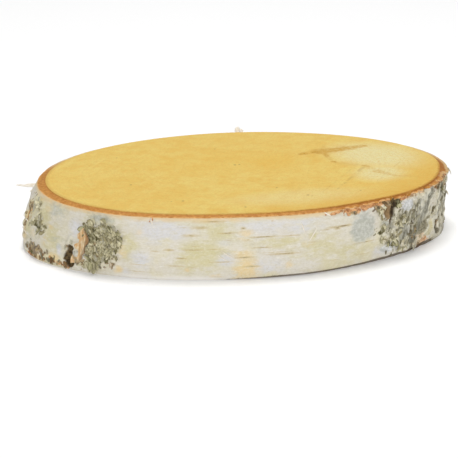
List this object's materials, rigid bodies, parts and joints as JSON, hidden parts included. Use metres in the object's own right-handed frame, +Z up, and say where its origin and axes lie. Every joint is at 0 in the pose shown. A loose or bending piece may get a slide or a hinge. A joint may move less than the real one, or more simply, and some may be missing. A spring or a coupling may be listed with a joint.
{
  "type": "birch wood slice",
  "caption": "Slice sawn straight across a slightly oval birch trunk with the white bark left on, flat above and below, used as a stand, coaster, plaque or craft base.",
  "frame": {"origin": "middle of the box around the sawn foot, on the surface that the slice rests on", "axes": "+Z up through the thickness of the slice, +X along its longer side, -Y towards the side that shows the smooth white bark"},
  "size_m": [0.2105, 0.1575, 0.031],
  "materials": {
    "sawn_birch": "matt sawn end grain, yellow-tan, with a brown star shake off to one side of the pith, faint growth rings and faint saw marks",
    "birch_bark": "cream to bluish-white papery birch bark with tan lenticels, peach stains and cracked rough patches, orange-brown where it is sawn",
    "lichen": "dull grey-green and dark olive lichen crust and weathered bark scales"
  },
  "bodies": {
    "root": {"birch_slice": "sawn_birch"}
  },
  "joints": []
}
